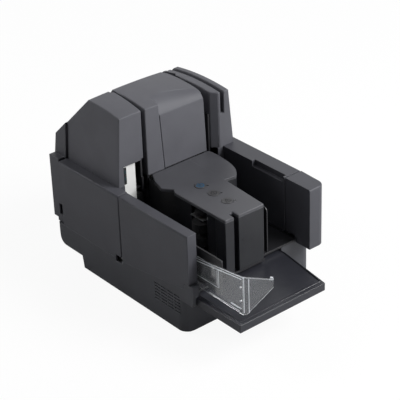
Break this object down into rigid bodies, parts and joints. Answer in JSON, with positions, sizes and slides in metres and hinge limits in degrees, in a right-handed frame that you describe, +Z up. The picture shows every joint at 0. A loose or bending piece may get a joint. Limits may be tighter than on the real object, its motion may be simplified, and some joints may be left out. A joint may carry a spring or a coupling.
{
  "type": "cheque scanner",
  "caption": "Desktop cheque scanner with feed and eject pockets, a U-shaped slip path, two hinged covers, drive rollers, pull-out tray, clear guide and keys.",
  "frame": {"origin": "on the surface it stands on, under the centre of the bounding box at rest, with the tray and the guide pulled out", "axes": "+X towards the machine's right as its user sees it, +Y from the front to the rear, +Z up"},
  "size_m": [0.216, 0.3972, 0.2482],
  "materials": {
    "shell": "fine texture",
    "deck": "fine texture",
    "base": "fine texture",
    "side": "fine texture",
    "tray": "satin",
    "nose": "satin",
    "inner": "satin",
    "white": "smooth",
    "clear": "clear moulded plastic",
    "lamp": "translucent",
    "key": "fine texture",
    "foot": "matte",
    "rubber": "matte",
    "steel": "satin",
    "sheet": "zinc plated",
    "bronze": "satin",
    "board": "solder mask"
  },
  "bodies": {
    "chassis": {"base_case": "base", "bottom_plate": "sheet", "feet": "foot", "bottom_screws": "steel", "main_frame": "sheet", "pocket_floor": "inner", "feed_side_panel": "side", "arm_front_panel": "side", "tray_rails": "inner", "guide_rail": "inner", "nose_case": "nose", "deck_panel": "deck", "centre_tower_shell": "shell", "inner_guide": "inner", "rear_guide": "inner", "rear_cover": "side", "upper_frame": "sheet", "shaft_bushes": "bronze", "circuit_boards": "board", "power_inlet": "inner", "data_port": "steel", "drive_motor": "sheet", "drive_belts": "rubber", "pick_motor": "sheet", "pick_bracket": "sheet", "inner_sensor": "inner", "signal_lamps": "lamp", "hinge_pins": "steel"},
    "left_cover": {"left_cover_panel": "side", "left_tower_shell": "shell", "left_guide_plate": "inner", "left_sensor": "inner", "character_head": "steel", "gate_plate": "white", "separation_bracket": "inner"},
    "right_cover": {"right_cover_panel": "side", "right_tower_shell": "shell", "right_guide_plate": "inner", "endorser_cartridge": "inner", "card_head": "steel"},
    "tray": {"document_tray": "tray"},
    "guide": {"clear_guide": "clear"},
    "pressure": {"pressure_plate": "inner"},
    "flap": {"stacker_flap": "inner"},
    "power_key": {"power_key": "key"},
    "start_key": {"start_key": "key"},
    "stop_key": {"stop_key": "key"},
    "motor_pulley": {"motor_pulley": "steel"},
    "pick_pulley": {"pick_pulley": "steel"},
    "pick_roller": {"pick_roller": "rubber"},
    "feed_roller": {"feed_roller": "rubber"},
    "transport_left": {"transport_roller_left": "rubber"},
    "turn_roller": {"turn_roller": "rubber"},
    "transport_right": {"transport_roller_right": "rubber"},
    "eject_roller": {"eject_roller": "rubber"},
    "separation_roller": {"separation_roller": "rubber"},
    "left_pinch": {"left_pinch_roller": "rubber"},
    "turn_pinch": {"turn_pinch_roller": "rubber"},
    "right_pinch": {"right_pinch_roller": "rubber"},
    "eject_pinch": {"eject_pinch_roller": "rubber"}
  },
  "joints": [
    {"name": "left_cover_swing", "type": "hinge", "parent": "chassis", "child": "left_cover", "pos_m": [-0.0985, 0.18008, 0.1], "axis": [0, 0, 1], "range_deg": [-35, 0]},
    {"name": "right_cover_swing", "type": "hinge", "parent": "chassis", "child": "right_cover", "pos_m": [0.0985, 0.18008, 0.1], "axis": [0, 0, 1], "range_deg": [0, 35]},
    {"name": "tray_slide", "type": "slide", "parent": "chassis", "child": "tray", "axis": [0, 1, 0], "range_m": [0, 0.075]},
    {"name": "guide_slide", "type": "slide", "parent": "chassis", "child": "guide", "axis": [0, 1, 0], "range_m": [0, 0.036]},
    {"name": "pressure_swing", "type": "hinge", "parent": "chassis", "child": "pressure", "pos_m": [-0.0847, 0.03958, 0.098], "axis": [0, 0, 1], "range_deg": [0, 10]},
    {"name": "flap_swing", "type": "hinge", "parent": "chassis", "child": "flap", "pos_m": [0.024, -0.02042, 0.104], "axis": [0, 0, 1], "range_deg": [0, 18], "stiffness_Nm_per_rad": 0.01, "springref_deg": -5.73},
    {"name": "power_key_press", "type": "slide", "parent": "chassis", "child": "power_key", "axis": [0, 0, -1], "range_m": [0, 0.0012], "stiffness_N_per_m": 300, "springref_m": -0.002},
    {"name": "start_key_press", "type": "slide", "parent": "chassis", "child": "start_key", "axis": [0, 0, -1], "range_m": [0, 0.0012], "stiffness_N_per_m": 300, "springref_m": -0.002},
    {"name": "stop_key_press", "type": "slide", "parent": "chassis", "child": "stop_key", "axis": [0, 0, -1], "range_m": [0, 0.0012], "stiffness_N_per_m": 300, "springref_m": -0.002},
    {"name": "motor_pulley_spin", "type": "hinge", "parent": "chassis", "child": "motor_pulley", "pos_m": [0.0055, 0.07158, 0.06], "axis": [0, 0, 1], "continuous": true},
    {"name": "pick_roller_spin", "type": "hinge", "parent": "chassis", "child": "pick_roller", "pos_m": [-0.037, -0.03442, 0.1], "axis": [0, 0, 1], "continuous": true},
    {"name": "pick_pulley_spin", "type": "hinge", "parent": "chassis", "child": "pick_pulley", "pos_m": [-0.008, -0.03442, 0.125], "axis": [0, 0, 1], "continuous": true},
    {"name": "feed_roller_spin", "type": "hinge", "parent": "chassis", "child": "feed_roller", "pos_m": [-0.0386, 0.07158, 0.1], "axis": [0, 0, 1], "continuous": true},
    {"name": "transport_left_spin", "type": "hinge", "parent": "chassis", "child": "transport_left", "pos_m": [-0.0386, 0.11858, 0.1], "axis": [0, 0, 1], "continuous": true},
    {"name": "turn_roller_spin", "type": "hinge", "parent": "chassis", "child": "turn_roller", "pos_m": [0.0055, 0.16468, 0.1], "axis": [0, 0, 1], "continuous": true},
    {"name": "transport_right_spin", "type": "hinge", "parent": "chassis", "child": "transport_right", "pos_m": [0.0496, 0.11058, 0.1], "axis": [0, 0, 1], "continuous": true},
    {"name": "eject_roller_spin", "type": "hinge", "parent": "chassis", "child": "eject_roller", "pos_m": [0.0496, 0.07158, 0.1], "axis": [0, 0, 1], "continuous": true},
    {"name": "turn_pinch_spin", "type": "hinge", "parent": "chassis", "child": "turn_pinch", "pos_m": [0.0055, 0.18248, 0.1], "axis": [0, 0, 1], "continuous": true},
    {"name": "separation_spin", "type": "hinge", "parent": "left_cover", "child": "separation_roller", "pos_m": [-0.0564, 0.07158, 0.1], "axis": [0, 0, 1], "continuous": true},
    {"name": "left_pinch_spin", "type": "hinge", "parent": "left_cover", "child": "left_pinch", "pos_m": [-0.0564, 0.11858, 0.1], "axis": [0, 0, 1], "continuous": true},
    {"name": "right_pinch_spin", "type": "hinge", "parent": "right_cover", "child": "right_pinch", "pos_m": [0.0674, 0.11058, 0.1], "axis": [0, 0, 1], "continuous": true},
    {"name": "eject_pinch_spin", "type": "hinge", "parent": "right_cover", "child": "eject_pinch", "pos_m": [0.0674, 0.07158, 0.1], "axis": [0, 0, 1], "continuous": true}
  ],
  "couplings": [
    {"joint": "motor_pulley_spin", "follows": "feed_roller_spin", "ratio": 1},
    {"joint": "transport_left_spin", "follows": "feed_roller_spin", "ratio": 1},
    {"joint": "turn_roller_spin", "follows": "feed_roller_spin", "ratio": 1},
    {"joint": "transport_right_spin", "follows": "feed_roller_spin", "ratio": 1},
    {"joint": "eject_roller_spin", "follows": "feed_roller_spin", "ratio": 1},
    {"joint": "pick_pulley_spin", "follows": "pick_roller_spin", "ratio": 1}
  ]
}
